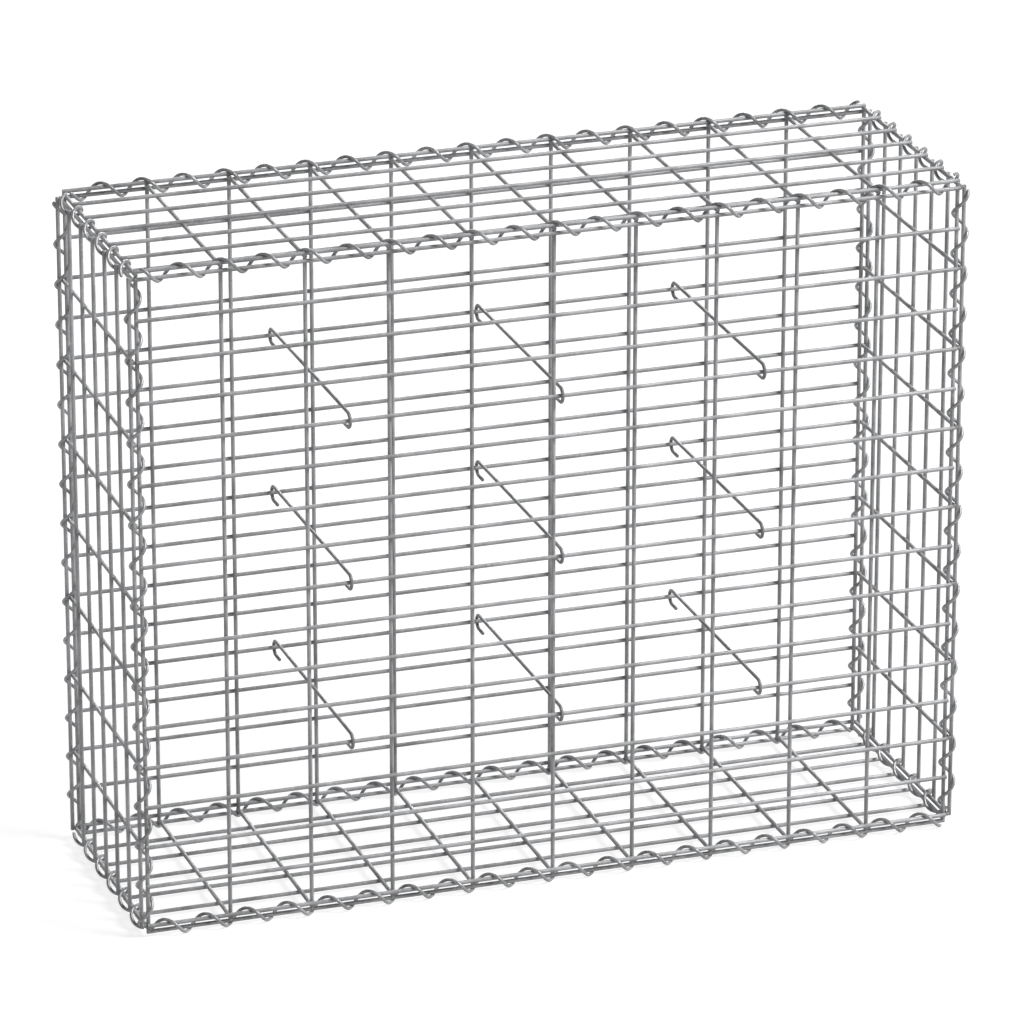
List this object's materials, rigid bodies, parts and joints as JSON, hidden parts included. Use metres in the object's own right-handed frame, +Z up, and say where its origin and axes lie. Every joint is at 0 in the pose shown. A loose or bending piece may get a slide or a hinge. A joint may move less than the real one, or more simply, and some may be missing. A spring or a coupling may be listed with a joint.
{
  "type": "gabion basket",
  "caption": "Empty box of welded wire mesh panels laced along every edge by wire spirals and braced by hooked tie rods, filled with stone to make a gabion wall.",
  "frame": {"origin": "on the ground under the middle of the basket, level with the underside of the bottom spirals", "axes": "+X along the length towards the right end, +Y from front to back, +Z up"},
  "size_m": [1.0304, 0.3256, 0.8299],
  "materials": {
    "mesh_wire": "galvanised",
    "spiral_wire": "galvanised",
    "tie_wire": "galvanised"
  },
  "bodies": {
    "root": {"front_panel": "mesh_wire", "back_panel": "mesh_wire", "left_end_panel": "mesh_wire", "right_end_panel": "mesh_wire", "base_panel": "mesh_wire", "lid_panel": "mesh_wire", "spiral_top_front": "spiral_wire", "spiral_top_back": "spiral_wire", "spiral_top_left": "spiral_wire", "spiral_top_right": "spiral_wire", "spiral_bottom_front": "spiral_wire", "spiral_bottom_back": "spiral_wire", "spiral_bottom_left": "spiral_wire", "spiral_bottom_right": "spiral_wire", "spiral_corner_front_left": "spiral_wire", "spiral_corner_front_right": "spiral_wire", "spiral_corner_back_left": "spiral_wire", "spiral_corner_back_right": "spiral_wire", "tie_low_left": "tie_wire", "tie_low_middle": "tie_wire", "tie_low_right": "tie_wire", "tie_mid_left": "tie_wire", "tie_mid_middle": "tie_wire", "tie_mid_right": "tie_wire", "tie_high_left": "tie_wire", "tie_high_middle": "tie_wire", "tie_high_right": "tie_wire"}
  },
  "joints": []
}
